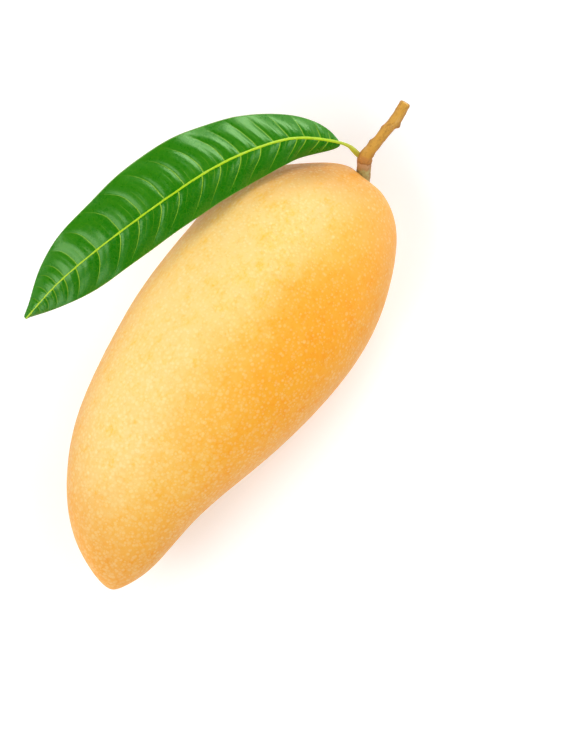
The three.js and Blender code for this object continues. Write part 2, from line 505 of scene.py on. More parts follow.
@dataclass(frozen=True)
class SharedEffects:
    """The node groups that more than one finish uses."""

    pores: bpy.types.NodeTree
    mottle: bpy.types.NodeTree

    def add_pores(
        self, graph: Graph, vector: Any, scale: float, size: Any, share: float
    ) -> tuple[Socket, Socket]:
        """Place the pores in a material.

        Args:
            graph: The material's graph.
            vector: The coordinates' socket.
            scale: Cells to the metre.
            size: The pore's radius as a share of its cell, or that share's socket.
            share: The share of cells that hold a pore.

        Returns:
            The sockets of the mask and the height.
        """
        inputs = {"Vector": vector, "Scale": scale, "Size": size, "Share": share}
        node = graph.node("ShaderNodeGroup", inputs, node_tree=self.pores)
        return node.outputs["Mask"], node.outputs["Height"]

    def add_mottle(
        self, graph: Graph, vector: Any, coarse: float, fine: float, fine_share: float
    ) -> Socket:
        """Place the mottling in a material.

        Args:
            graph: The material's graph.
            vector: The coordinates' socket.
            coarse: Large clouds to the metre.
            fine: Small clouds to the metre.
            fine_share: How much the small ones count.

        Returns:
            The tone's socket.
        """
        inputs = {"Vector": vector, "Coarse": coarse, "Fine": fine, "Fine Share": fine_share}
        return graph.node("ShaderNodeGroup", inputs, node_tree=self.mottle).outputs["Tone"]


def start_material(name: str) -> tuple[bpy.types.Material, Graph, bpy.types.Node]:
    """Start a material.

    Args:
        name: The material's name.

    Returns:
        The material, its graph and its Principled shader.
    """
    material = bpy.data.materials.new(name)
    material.use_nodes = True
    graph = Graph(material.node_tree)
    return material, graph, material.node_tree.nodes["Principled BSDF"]


@dataclass(frozen=True)
class SkinFinish:
    """The ripe skin: yellow towards the leaf, orange on the other side, with pale pores, painted shade
    low on the flanks and a painted shadow where the leaf hangs over it.
    """

    effects: SharedEffects
    yellow: Colour = (0.93, 0.66, 0.23)
    gold: Colour = (0.94, 0.53, 0.09)
    orange: Colour = (0.94, 0.41, 0.025)
    deep_orange: Colour = (0.95, 0.38, 0.01)
    shoulder: Colour = (0.93, 0.52, 0.17)
    # Painted shade: a deeper orange laid low on the flanks towards the floor.
    flank_shade: Colour = (0.80, 0.36, 0.055)
    # Painted shadow that the leaf casts on the skin at the rim beneath it.
    painted_leaf_shadow: Colour = (0.40, 0.16, 0.03)
    pore: Colour = (0.12, 0.20, 0.11)
    golden_stain: Colour = (1.0, 0.80, 0.10)
    orange_stain: Colour = (1.0, 0.72, 0.20)
    blush_centre: Point = (0.022, -0.017, 0.050)
    blush_reach: float = 0.026
    # Centre, reach and heights of the leaf's painted shadow on the skin.
    leaf_shadow_centre: Point = (0.056, 0.024, 0.032)
    leaf_shadow_reach: float = 0.046
    leaf_shadow_height: Span = (0.054, 0.041)
    gold_across: Span = (0.014, -0.008)
    orange_across: Span = (0.002, -0.024)
    border_lean: float = 0.2
    border_raggedness: float = 0.010
    tip_along: Span = (-0.054, -0.086)
    shoulder_along: Span = (0.040, 0.072)
    end_raggedness: float = 0.012
    # Heights over which the painted flank shade comes in.
    flank_shade_height: Span = (0.055, 0.034)
    fine_pores: float = 880.0
    fine_pore_along: Span = (0.04, -0.04)
    fine_pore_size: Span = (0.40, 0.58)
    fine_pore_strength: Span = (0.65, 0.85)
    large_pores: float = 420.0
    large_pore_size: float = 0.24

    def build(self) -> bpy.types.Material:
        """Build the material.

        Returns:
            The new material.
        """
        material, graph, shader = start_material("mango_skin")
        place = graph.place()
        drawn_out = graph.place((0.75, 1.0, 1.0))
        clouds = self.effects.add_mottle(graph, place, 45.0, 170.0, 0.4)
        grain = self.effects.add_mottle(graph, drawn_out, 270.0, 950.0, 0.5)
        tint = self.ground_colour(graph, place, clouds)
        stain = graph.ease(graph.plus(grain, graph.times(clouds, 0.4)), -0.3, 1.1, 0.0, 0.85)
        tint = graph.mix(stain, tint, self.golden_stain, "MULTIPLY")
        flecks = self.effects.add_mottle(graph, drawn_out, 180.0, 520.0, 0.45)
        tint = graph.mix(graph.ease(flecks, 0.15, 1.1, 0.0, 0.45), tint, self.orange_stain, "MULTIPLY")
        along = graph.node("ShaderNodeSeparateXYZ", {"Vector": place}).outputs["X"]
        size = graph.ease(along, *self.fine_pore_along, *self.fine_pore_size)
        fine, height = self.effects.add_pores(graph, place, self.fine_pores, size, 1.0)
        fine = graph.times(fine, graph.ease(along, *self.fine_pore_along, *self.fine_pore_strength))
        tint = graph.mix(fine, tint, self.pore, "SCREEN")
        large, _ = self.effects.add_pores(graph, place, self.large_pores, self.large_pore_size, 0.5)
        tint = graph.mix(graph.times(large, 0.7), tint, self.pore, "SCREEN")
        graph.feed(shader.inputs["Base Color"], tint)
        graph.feed(shader.inputs["Roughness"], graph.ease(grain, -1.0, 1.0, 0.42, 0.56))
        shader.inputs["Specular IOR Level"].default_value = 0.25
        shader.inputs["Subsurface Weight"].default_value = 0.1
        shader.inputs["Subsurface Radius"].default_value = (1.0, 0.5, 0.2)
        shader.inputs["Subsurface Scale"].default_value = 0.003
        graph.bump(shader, graph.plus(graph.times(grain, 0.6), height), 0.4, 0.0003)
        return material

    def ground_colour(self, graph: Graph, place: Socket, clouds: Socket) -> Socket:
        """Lay the broad colours round the fruit, with painted shade low on the flanks and the leaf's
        painted shadow near the rim.

        Args:
            graph: The material's graph.
            place: The coordinates' socket.
            clouds: The tone that makes their borders uneven.

        Returns:
            The colour's socket.
        """
        axes = graph.node("ShaderNodeSeparateXYZ", {"Vector": place})
        across = graph.plus(axes.outputs["Y"], graph.times(clouds, self.border_raggedness))
        leaning = graph.times(graph.math("MAXIMUM", axes.outputs["X"], 0.0), self.border_lean)
        across = graph.plus(across, leaning)
        tint = graph.mix(graph.ease(across, *self.gold_across), self.yellow, self.gold)
        tint = graph.mix(graph.ease(across, *self.orange_across), tint, self.orange)
        along = graph.plus(axes.outputs["X"], graph.times(clouds, self.end_raggedness))
        tint = graph.mix(graph.ease(along, *self.tip_along, 0.0, 0.6), tint, self.orange)
        tint = graph.mix(graph.ease(along, *self.shoulder_along, 0.0, 0.6), tint, self.shoulder)
        # Painted shade: the skin deepens to orange low on the flanks.
        sides = graph.ease(axes.outputs["Z"], *self.flank_shade_height, 0.0, 0.88)
        tint = graph.mix(sides, tint, self.flank_shade)
        blush = self.patch(graph, place, clouds, self.blush_centre, self.blush_reach)
        tint = graph.mix(graph.times(blush, 0.5), tint, self.deep_orange)
        # Painted shadow of the leaf on the skin, strongest low near the rim under it.
        leaf_shadow_mask = self.patch(graph, place, clouds, self.leaf_shadow_centre, self.leaf_shadow_reach)
        low = graph.ease(axes.outputs["Z"], *self.leaf_shadow_height, 0.0, 0.85)
        return graph.mix(graph.times(leaf_shadow_mask, low), tint, self.painted_leaf_shadow)

    @staticmethod
    def patch(graph: Graph, place: Socket, clouds: Socket, centre: Point, reach: float) -> Socket:
        """Mark a soft ragged patch of skin.

        Args:
            graph: The material's graph.
            place: The coordinates' socket.
            clouds: The tone that makes its border uneven.
            centre: The patch's centre, in metres.
            reach: How far it reaches, in metres.

        Returns:
            The patch's mask.
        """
        away = graph.node("ShaderNodeVectorMath", {0: place, 1: centre}, operation="DISTANCE")
        ragged = graph.plus(away.outputs["Value"], graph.times(clouds, 0.006))
        return graph.ease(ragged, reach, reach * 0.25)


@dataclass(frozen=True)
class BarkFinish:
    """Young bark: orange brown on the twig, duller and greener down by the fruit, with painted shade
    round the twig away from its top.
    """

    effects: SharedEffects
    twig: Colour = (0.66, 0.34, 0.045)
    twig_pale: Colour = (0.70, 0.44, 0.15)
    # Dark streaks of the bark, also laid round the twig's sides as painted shade.
    twig_dark_and_side_shade: Colour = (0.34, 0.14, 0.025)
    band: Colour = (0.64, 0.40, 0.20)
    collar: Colour = (0.48, 0.24, 0.09)
    node: Colour = (0.58, 0.25, 0.05)
    base: Colour = (0.52, 0.52, 0.22)
    crack: Colour = (0.24, 0.09, 0.03)
    pore: Colour = (0.75, 0.52, 0.22)
    collar_at: float = 0.345
    base_ends: Span = (0.255, 0.305)
    band_starts: Span = (0.275, 0.31)
    band_ends: Span = (0.34, 0.32)
    edge_raggedness: float = 0.032

    def build(self) -> bpy.types.Material:
        """Build the material.

        Returns:
            The new material.
        """
        material, graph, shader = start_material("stem_bark")
        place = graph.place()
        fibres = graph.place((0.22, 1.0, 1.0), (0.0, 0.0, 0.1))
        along = graph.attribute("along")
        tone = self.effects.add_mottle(graph, place, 420.0, 1300.0, 0.45)
        streaks = self.effects.add_mottle(graph, fibres, 900.0, 2600.0, 0.5)
        edge = graph.plus(along, graph.times(tone, self.edge_raggedness))
        tint = graph.mix(graph.ease(edge, *self.base_ends), self.base, self.collar)
        band = graph.times(graph.ease(edge, *self.band_starts), graph.ease(edge, *self.band_ends))
        tint = graph.mix(graph.times(band, 0.7), tint, self.band)
        tint = graph.mix(graph.ease(edge, self.collar_at - 0.01, self.collar_at), tint, self.node)
        upper = graph.ease(edge, self.collar_at + 0.03, self.collar_at + 0.09)
        patches = graph.ease(self.effects.add_mottle(graph, fibres, 380.0, 1100.0, 0.4), 0.0, 1.0)
        tint = graph.mix(upper, tint, graph.mix(patches, self.twig, self.twig_pale))
        dark = graph.ease(graph.plus(tone, streaks), -0.1, 1.1, 0.0, 0.7)
        tint = graph.mix(dark, tint, self.twig_dark_and_side_shade)
        off_ring = graph.math("ABSOLUTE", graph.minus(edge, self.collar_at))
        tint = graph.mix(graph.ease(off_ring, 0.016, 0.004, 0.0, 0.5), tint, self.crack)
        # Painted shade: the twig darkens away from its top, round its sides and underside.
        sides = graph.ease(graph.attribute("round_cos"), 0.95, 0.35, 0.0, 0.6)
        tint = graph.mix(sides, tint, self.twig_dark_and_side_shade)
        tint = graph.mix(graph.times(graph.attribute("scar"), 0.7), tint, self.crack)
        mask, height = self.effects.add_pores(graph, fibres, 900.0, 0.2, 0.3)
        tint = graph.mix(graph.times(mask, 0.35), tint, self.pore)
        graph.feed(shader.inputs["Base Color"], tint)
        graph.feed(shader.inputs["Roughness"], graph.ease(tone, -1.0, 1.0, 0.55, 0.75))
        shader.inputs["Specular IOR Level"].default_value = 0.35
        graph.bump(shader, graph.plus(streaks, graph.times(height, 0.6)), 0.5, 0.0002)
        return material


@dataclass(frozen=True)
class CutWoodFinish:
    """The cut end of the twig: pale wood with a darker pith."""

    effects: SharedEffects
    wood: Colour = (0.74, 0.55, 0.28)
    pith: Colour = (0.50, 0.34, 0.15)

    def build(self) -> bpy.types.Material:
        """Build the material.

        Returns:
            The new material.
        """
        material, graph, shader = start_material("cut_wood")
        place = graph.place()
        tone = self.effects.add_mottle(graph, place, 900.0, 3000.0, 0.5)
        tint = graph.mix(graph.ease(tone, -0.6, 1.0), self.wood, self.pith)
        graph.feed(shader.inputs["Base Color"], tint)
        shader.inputs["Roughness"].default_value = 0.8
        return material


@dataclass(frozen=True)
class BladeFinish:
    """The leaf's blade: glossy green with pale veins on top, paler and duller underneath, and its
    inner half darkened as painted shade.
    """

    effects: SharedEffects
    # The darker green, also laid over the inner half as painted shade.
    dark: Colour = (0.007, 0.158, 0.0003)
    light: Colour = (0.028, 0.200, 0.0008)
    vein: Colour = (0.30, 0.52, 0.02)
    gloss: Colour = (0.64, 1.0, 0.50)
    edge: Colour = (0.22, 0.40, 0.06)
    under: Colour = (0.16, 0.30, 0.06)
    under_vein: Colour = (0.42, 0.50, 0.16)
    vein_half_width: float = 0.17
    vein_end_half_width: float = 0.07
    midrib_blur: Span = (-0.05, 0.05)

    def build(self) -> bpy.types.Material:
        """Build the material.

        Returns:
            The new material.
        """
        material, graph, shader = start_material("leaf_blade")
        place = graph.place()
        signed = graph.attribute("across")
        across = graph.math("ABSOLUTE", signed)
        under = graph.attribute("under")
        tone = self.effects.add_mottle(graph, place, 110.0, 700.0, 0.45)
        lines = self.vein_lines(graph, place, across)
        outer = graph.ease(signed, *self.midrib_blur)
        green = graph.mix(graph.ease(tone, -1.2, 0.9), self.dark, self.light)
        # Painted shade: the inner half of the blade is darkened.
        green = graph.mix(graph.times(graph.minus(1.0, outer), 0.6), green, self.dark)
        shown = graph.times(lines, graph.ease(signed, *self.midrib_blur, 1.0, 0.6))
        top = graph.mix(shown, green, self.vein)
        top = graph.mix(graph.ease(across, 0.97, 1.0, 0.0, 0.7), top, self.edge)
        pale = graph.mix(graph.ease(tone, -1.0, 1.0), self.under, self.light)
        below = graph.mix(lines, pale, self.under_vein)
        graph.feed(shader.inputs["Base Color"], graph.mix(under, top, below))
        shine = graph.ease(tone, -1.0, 1.0, 0.24, 0.34)
        shine = graph.plus(shine, graph.times(under, 0.3))
        graph.feed(shader.inputs["Roughness"], shine)
        shader.inputs["Specular IOR Level"].default_value = 0.65
        shader.inputs["Specular Tint"].default_value = (*self.gloss, 1.0)
        groove = graph.times(lines, graph.ease(under, 0.0, 1.0, -0.6, 1.0))
        graph.bump(shader, graph.plus(groove, graph.times(tone, 0.25)), 0.35, 0.0002)
        return material

    def vein_lines(self, graph: Graph, place: Socket, across: Socket) -> Socket:
        """Draw the side veins, the fainter ones between them and the net.

        Args:
            graph: The material's graph.
            place: The coordinates' socket.
            across: The place across, from 0 on the midrib to 1 on the margin.

        Returns:
            The mask of all the lines.
        """
        wander = graph.times(graph.minus(graph.noise(place, 130.0), 0.5), 0.12)
        steps = graph.plus(graph.attribute("vein"), wander)
        spacing = graph.attribute("spacing")
        width = graph.ease(across, 0.0, 1.0, self.vein_half_width, self.vein_end_half_width)
        main = self.line(graph, steps, spacing, width)
        main = graph.times(main, graph.ease(across, 0.98, 0.55, 0.15, 1.0))
        main = graph.times(main, graph.ease(steps, 14.0, 19.0, 1.0, 0.4))
        third = graph.math("DIVIDE", spacing, 3.0)
        between = self.line(graph, graph.times(steps, 3.0), third, 0.10)
        present = graph.ease(graph.noise(place, 170.0), 0.42, 0.62, 0.0, 0.35)
        between = graph.times(graph.times(between, present), graph.ease(across, 0.75, 0.25))
        cells = {"Vector": place, "Scale": 700.0}
        net = graph.node("ShaderNodeTexVoronoi", cells, feature="DISTANCE_TO_EDGE")
        net_line = graph.ease(net.outputs["Distance"], 0.07, 0.0, 0.0, 0.12)
        return graph.math("MAXIMUM", main, graph.math("MAXIMUM", between, net_line))

    @staticmethod
    def line(graph: Graph, steps: Socket, spacing: Socket, half_width: Any) -> Socket:
        """Draw a line at each whole step.

        Args:
            graph: The material's graph.
            steps: The place, which is a whole number on each line.
            spacing: The millimetres from one line to the next.
            half_width: The line's half-width in millimetres.

        Returns:
            The lines' mask.
        """
        nearest = graph.math("ROUND", steps)
        away = graph.math("ABSOLUTE", graph.minus(steps, nearest))
        share = graph.math("DIVIDE", graph.times(away, spacing), half_width)
        return graph.ease(share, 1.6, 0.5)


@dataclass(frozen=True)
class RibFinish:
    """The petiole and midrib: bright yellow green, with a little brown at the foot."""

    effects: SharedEffects
    rib: Colour = (0.43, 0.66, 0.004)
    petiole: Colour = (0.50, 0.54, 0.035)
    foot: Colour = (0.50, 0.46, 0.05)
    pale: Colour = (0.70, 0.74, 0.30)
    blade_starts: float = 0.11

    def build(self) -> bpy.types.Material:
        """Build the material.

        Returns:
            The new material.
        """
        material, graph, shader = start_material("leaf_rib")
        place = graph.place()
        along = graph.attribute("along")
        tone = self.effects.add_mottle(graph, place, 300.0, 1400.0, 0.5)
        tint = graph.mix(graph.ease(along, 0.02, 0.06), self.foot, self.petiole)
        tint = graph.mix(graph.ease(along, 0.08, self.blade_starts + 0.05), tint, self.rib)
        tint = graph.mix(graph.ease(tone, 0.0, 1.2, 0.0, 0.3), tint, self.pale)
        graph.feed(shader.inputs["Base Color"], tint)
        graph.feed(shader.inputs["Roughness"], graph.ease(tone, -1.0, 1.0, 0.36, 0.5))
        graph.bump(shader, tone, 0.2, 0.0002)
        return material


@dataclass
class Fruit:
    """The whole fruit. Stations are evenly spaced in angle from the tip to the stem end."""

    finish: SkinFinish
    stem_foot: Vector
    length: float = 160.0
    centres: Profile = field(
        default_factory=lambda: Profile([1.1, 4.5, 9.2, 11.9, 9.4, 6.2, 4.0, 3.0, 0.1, 1.1])
    )
    breadths: Profile = field(
        default_factory=lambda: Profile([20.8, 26.0, 28.9, 29.8, 32.8, 36.3, 39.6, 42.7, 41.8, 40.6])
    )
    depths: Profile = field(
        default_factory=lambda: Profile([20.5, 23.4, 25.6, 28.0, 30.3, 31.4, 32.8, 35.0, 36.8, 36.5])
    )
    axis_height: float = 30.1
    axis_rise: float = 0.4
    squareness: float = 2.12
    basin_radius: float = 7.0
    basin_depth: float = 0.9
    ripple: float = 0.12
    ripple_size: float = 9.0
    around: int = 224
    lengthwise: int = 176

    def skin_point(self, angle_along: float, angle_round: float) -> Vector:
        """Find a point of the smooth skin.

        Args:
            angle_along: The angle from the tip, from 0 to pi.
            angle_round: The angle round the fruit, from the +Y side up.

        Returns:
            The point, in millimetres from the tip.
        """
        fraction = angle_along / math.pi
        across = math.cos(angle_round)
        upward = math.sin(angle_round)
        powers = abs(across) ** self.squareness + abs(upward) ** self.squareness
        rim = powers ** (-1.0 / self.squareness)
        swell = math.sin(angle_along)
        x = self.length / 2.0 * (1.0 - math.cos(angle_along))
        y = self.centres.at(fraction) + swell * self.breadths.at(fraction) * rim * across
        height = self.axis_height - self.axis_rise * math.cos(angle_along)
        return Vector((x, y, height + swell * self.depths.at(fraction) * rim * upward))

    def basin(self, point: Vector) -> float:
        """Find how deep the stem basin is at a point of the skin.

        Args:
            point: The point, in millimetres from the tip.

        Returns:
            The depth in millimetres.
        """
        away = (point - self.stem_foot).yz.length / self.basin_radius
        if point.x < self.length * 0.8 or away >= 1.0:
            return 0.0
        return self.basin_depth * (1.0 - away * away) ** 2

    def build(self) -> bpy.types.Object:
        """Build the fruit.

        Returns:
            The piece.
        """
        mesh = bmesh.new()
        bmesh.ops.create_uvsphere(mesh, u_segments=self.around, v_segments=self.lengthwise, radius=1.0)
        centre = Vector((self.length / 2.0, self.centres.at(0.5), self.axis_height))
        for vert in mesh.verts:
            angle_along = math.acos(min(max(vert.co.z, -1.0), 1.0))
            angle_round = math.atan2(vert.co.x, vert.co.y)
            point = self.skin_point(angle_along, angle_round)
            point.x -= self.basin(point)
            ripples = point / self.ripple_size
            wave = noise.noise(ripples) + 0.5 * noise.noise(ripples * 2.3)
            inward = (centre - point).normalized()
            point += inward * self.ripple * (0.5 + 0.5 * wave)
            point.z = max(point.z, 0.0)
            vert.co = to_row(point)
        bmesh.ops.recalc_face_normals(mesh, faces=mesh.faces)
        return finish_piece("mango_fruit", mesh, [self.finish.build()], "fruit")


@dataclass
class Stem:
    """The stalk, its collar and the cut twig, grown along one bent line."""

    bark: BarkFinish
    cut: CutWoodFinish
    line: Line = field(
        default_factory=lambda: Line([
            (153.4, -4.7, 29.2), (157.2, -2.4, 31.5), (160.8, -0.5, 33.9), (164.4, 1.2, 37.0),
            (167.5, 0.9, 39.0), (171.2, 0.3, 40.7), (175.6, -0.4, 42.2), (179.4, -1.1, 43.4),
            (185.3, -1.0, 45.0),
        ])
    )
    radii: tuple[float, ...] = (2.35, 2.4, 2.4, 2.35, 2.0, 1.8, 1.85, 1.95, 1.8)
    collar_at: float = 0.345
    collar_rise: float = 0.2
    collar_width: float = 0.02
    scars: tuple[tuple[float, float, float], ...] = (
        (0.84, -1.4, 0.7), (0.73, 1.5, 0.35), (0.56, 1.5, 0.4), (0.45, -1.3, 0.2),
    )
    scar_length: float = 0.022
    bark_relief: float = 0.14
    grain_along: float = 22.0
    grain_round: float = 1.6
    end_rounding: float = 0.012
    end_taper: float = 0.16
    end_bevel: float = 0.25
    end_step: float = 0.10
    end_hollow: float = 0.12
    sides: int = 48
    rings: int = 200

    def radius(self, place: float) -> float:
        """Find the stem's radius.

        Args:
            place: The place along the stem, from 0 to 1.

        Returns:
            The radius in millimetres.
        """
        ring = (place - self.collar_at) / self.collar_width
        rounding = max(0.0, (place - 1.0) / self.end_rounding + 1.0)
        full = reading(self.radii, place) + self.collar_rise * math.exp(-ring * ring)
        return full * (1.0 - self.end_taper * rounding * rounding)

    def build(self) -> bpy.types.Object:
        """Build the stem.

        Returns:
            The piece.
        """
        mesh = new_bar_mesh()
        scar_layer = mesh.verts.layers.float.new("scar")
        verts = sweep_round(mesh, self.line, self.radius, self.sides, self.rings)
        along_layer = mesh.verts.layers.float["along"]
        sine_layer = mesh.verts.layers.float["round_sin"]
        cosine_layer = mesh.verts.layers.float["round_cos"]
        for vert in verts:
            place = vert[along_layer]
            centre = to_row(self.line.at(place))
            outward = (vert.co - centre).normalized()
            angle = math.atan2(vert[sine_layer], vert[cosine_layer])
            push = 0.0
            for scar_at, scar_angle, scar_rise in self.scars:
                away = (place - scar_at) / self.scar_length
                facing = max(0.0, math.cos(angle - scar_angle)) ** 4
                bud = facing * math.exp(-away * away)
                push += scar_rise * bud
                vert[scar_layer] = max(vert[scar_layer], bud * min(scar_rise * 1.4, 1.0))
            grain = Vector((
                place * self.grain_along,
                math.cos(angle) * self.grain_round,
                math.sin(angle) * self.grain_round,
            ))
            push += self.bark_relief * (noise.noise(grain) + 0.6 * noise.noise(grain * 2.7) - 0.4)
            vert.co += outward * push * MM
        cap = [face for face in mesh.faces if len(face.verts) > 4]
        last = max(cap, key=lambda face: face.calc_center_median().x)
        bmesh.ops.inset_region(mesh, faces=[last], thickness=self.end_bevel * MM, depth=0.0)
        bmesh.ops.inset_region(
            mesh, faces=[last], thickness=self.end_step * MM, depth=-self.end_hollow * MM
        )
        last.material_index = 1
        materials = [self.bark.build(), self.cut.build()]
        return finish_piece("mango_stem", mesh, materials, "stem")


@dataclass(frozen=True)
class LeafHalf:
    """One side of the leaf's blade. The widths' stations are evenly spaced in angle from the foot."""

    widths: Profile
    vein_feet: tuple[float, ...]
    sweep: float
    first_bend: float
    bend_growth: float
    drop: float
    wave_start: float
    bend_from: float = 0.15
    bend_over: float = 0.35

    def vein_number(self, place: float, half: float) -> float:
        """Find the side vein that passes through a place of the blade.

        Args:
            place: The place along the midrib, from 0 to 1.
            half: The place across, from 0 on the midrib to 1 on the margin.

        Returns:
            The vein's number, with the share of the way to the next one.
        """
        foot = place
        for _ in range(8):
            growth = smoothstep((foot - self.bend_from) / self.bend_over)
            bend = self.first_bend + self.bend_growth * growth
            foot = place - self.sweep * half ** bend * 4.0 * foot * (1.0 - foot)
        following = self.vein_after(foot)
        before = self.vein_feet[following - 1]
        return following - 1 + (foot - before) / (self.vein_feet[following] - before)

    def vein_after(self, foot: float) -> int:
        """Find the first vein whose foot lies past a place on the midrib."""
        last = len(self.vein_feet) - 1
        return min(max(bisect.bisect_right(self.vein_feet, foot), 1), last)

    def vein_spacing(self, number: float, length: float) -> float:
        """Find the distance between the veins' feet on either side of a vein number.

        Args:
            number: The vein number.
            length: The blade's length in millimetres.

        Returns:
            The distance in millimetres.
        """
        before = min(max(int(number), 0), len(self.vein_feet) - 2)
        return (self.vein_feet[before + 1] - self.vein_feet[before]) * length


OUTER_HALF = LeafHalf(
    widths=Profile([0.5, 5.9, 10.8, 12.9, 14.5, 15.7, 15.5, 14.4, 13.4, 9.7, 6.4, 7.2]),
    vein_feet=(
        0.0, 0.036, 0.061, 0.1, 0.142, 0.183, 0.229, 0.278, 0.322, 0.386, 0.446,
        0.51, 0.585, 0.656, 0.735, 0.799, 0.846, 0.874, 0.907, 0.94, 0.97, 1.0,
    ),
    sweep=0.068,
    first_bend=1.1,
    bend_growth=1.9,
    drop=3.2,
    wave_start=0.0,
)
INNER_HALF = LeafHalf(
    widths=Profile([9.1, 8.9, 9.7, 10.4, 10.6, 10.2, 10.2, 11.0, 11.7, 9.8, 4.5, 0.5]),
    vein_feet=(
        0.0, 0.042, 0.065, 0.097, 0.121, 0.168, 0.221, 0.279, 0.339, 0.393, 0.469,
        0.526, 0.6, 0.661, 0.736, 0.808, 0.85, 0.89, 0.92, 0.95, 0.975, 1.0,
    ),
    sweep=0.1,
    first_bend=1.7,
    bend_growth=0.0,
    drop=5.2,
    wave_start=2.1,
)


@dataclass
class Leaf:
    """The leaf: a petiole that runs on as the midrib, and a thin quilted blade on both sides."""

    blade_finish: BladeFinish
    rib_finish: RibFinish
    line: Line = field(
        default_factory=lambda: Line([
            (164.0, 3.2, 36.6), (163.8, 9.9, 42.5), (156.9, 23.2, 49.0), (145.5, 33.3, 54.0),
            (132.8, 41.2, 57.0), (119.2, 47.6, 58.2), (105.5, 53.5, 58.2), (91.6, 59.1, 57.0),
            (77.3, 64.0, 54.8), (62.5, 67.3, 51.0),
        ])
    )
    trim: float = 0.996
    end_margin: float = 0.004
    thickness: float = 0.4
    quilt_height: float = 0.6
    margin_wave: float = 0.7
    margin_waves: float = 5.5
    petiole_radius: float = 0.95
    rib_start: float = 0.5
    rib_end: float = 0.25
    rib_stop: float = 0.996
    rib_relief: float = 0.05
    rib_sides: int = 20
    rib_rings: int = 220
    blade_length: float = 130.0
    wrinkle_height: float = 0.06
    curl_height: float = 1.1
    curl_at: float = 0.79
    curl_width: float = 0.055
    columns: int = 440
    rows: int = 64

    def spine_place(self, place: float) -> float:
        """Turn a place along the blade into one along the petiole and midrib."""
        return (1.0 + (self.line.spans - 1) * place) / self.line.spans

    def blade_point(self, place: float, across: float) -> Vector:
        """Find a point of the blade's middle surface.

        Args:
            place: The place along the midrib, from 0 to 1.
            across: The place across, from -1 on the inner margin to 1 on the outer one.

        Returns:
            The point, in millimetres from the tip.
        """
        half = min(abs(across), 1.0)
        side_of = OUTER_HALF if across > 0.0 else INNER_HALF
        swell = 2.0 * math.sqrt(place * (1.0 - place))
        width = self.trim * swell * side_of.widths.at(math.acos(1.0 - 2.0 * place) / math.pi)
        spine = self.spine_place(place)
        ahead = self.line.heading(spine)
        side = ahead.cross(UP).normalized()
        over = side.cross(ahead).normalized()
        number = side_of.vein_number(place, half)
        panel = abs(math.sin(math.pi * number)) ** 0.8 - 0.6
        wrinkle = math.cos(6.0 * math.pi * number)
        inside = math.sin(math.pi * half ** 0.7)
        wave = math.sin(2.0 * math.pi * self.margin_waves * place + side_of.wave_start)
        rise = -side_of.drop * swell * half ** 1.7
        rise += self.quilt_height * panel * inside * swell
        rise -= self.wrinkle_height * wrinkle * inside * (1.0 - half) * swell
        rise += self.margin_wave * wave * swell * half ** 3
        if across > 0.0:
            from_curl = (place - self.curl_at) / self.curl_width
            rise += self.curl_height * math.exp(-from_curl ** 2) * half ** 2
        return self.line.at(spine) + side * across * width + over * rise

    def build_blade(self) -> bpy.types.Object:
        """Build the blade as a thin closed sheet with a top and an underside.

        Returns:
            The piece.
        """
        mesh = bmesh.new()
        vein_layer = mesh.verts.layers.float.new("vein")
        spacing_layer = mesh.verts.layers.float.new("spacing")
        across_layer = mesh.verts.layers.float.new("across")
        under_layer = mesh.verts.layers.float.new("under")
        bmesh.ops.create_grid(mesh, x_segments=self.columns, y_segments=self.rows, size=1.0)
        for vert in mesh.verts:
            eased = (1.0 + math.sin(math.pi / 2.0 * vert.co.x)) / 2.0
            vert.co.x = self.end_margin + (1.0 - 2.0 * self.end_margin) * eased
            vert[across_layer] = vert.co.y
            side_of = OUTER_HALF if vert.co.y > 0.0 else INNER_HALF
            number = side_of.vein_number(vert.co.x, min(abs(vert.co.y), 1.0))
            vert[vein_layer] = number
            vert[spacing_layer] = side_of.vein_spacing(number, self.blade_length)
        sheet = mesh.verts[:] + mesh.edges[:] + mesh.faces[:]
        copied = bmesh.ops.duplicate(mesh, geom=sheet)["geom"]
        lower_faces = [item for item in copied if isinstance(item, bmesh.types.BMFace)]
        for item in copied:
            if isinstance(item, bmesh.types.BMVert):
                item[under_layer] = 1.0
        bmesh.ops.reverse_faces(mesh, faces=lower_faces)
        rims = [edge for edge in mesh.edges if edge.is_boundary]
        for vert in mesh.verts:
            point = self.blade_point(vert.co.x, vert.co.y)
            point.z += self.thickness * (0.5 - vert[under_layer])
            vert.co = to_row(point)
        bmesh.ops.bridge_loops(mesh, edges=rims)
        bmesh.ops.recalc_face_normals(mesh, faces=mesh.faces)
        return finish_piece("leaf_blade", mesh, [self.blade_finish.build()], "leaf")

    def rib_radius(self, place: float) -> float:
        """Find the radius of the petiole or midrib.

        Args:
            place: The place along the two, from 0 to 1.

        Returns:
            The radius in millimetres.
        """
        start = self.spine_place(0.0)
        if place < start:
            share = smoothstep((place / start - 0.2) / 0.8)
            return self.petiole_radius + (self.rib_start - self.petiole_radius) * share
        share = (place - start) / (1.0 - start)
        return self.rib_start + (self.rib_end - self.rib_start) * share

    def build_rib(self) -> bpy.types.Object:
        """Build the petiole and midrib as one tapering bar.

        Returns:
            The piece.
        """
        mesh = new_bar_mesh()
        verts = sweep_round(
            mesh, self.line, self.rib_radius, self.rib_sides, self.rib_rings, self.rib_stop
        )
        along_layer = mesh.verts.layers.float["along"]
        for vert in verts:
            place = vert[along_layer]
            centre = to_row(self.line.at(place))
            outward = (vert.co - centre).normalized()
            vert.co += outward * self.rib_relief * MM * noise.noise(vert.co * 900.0)
        return finish_piece("leaf_rib", mesh, [self.rib_finish.build()], "leaf")

    def build(self) -> list[bpy.types.Object]:
        """Build the leaf's two pieces."""
        return [self.build_blade(), self.build_rib()]


@dataclass(frozen=True)
class Softbox:
    """A rectangular light, with its lean to the picture's right and top, its size and its watts."""

    name: str
    lean: Span
    size: Span
    power: float


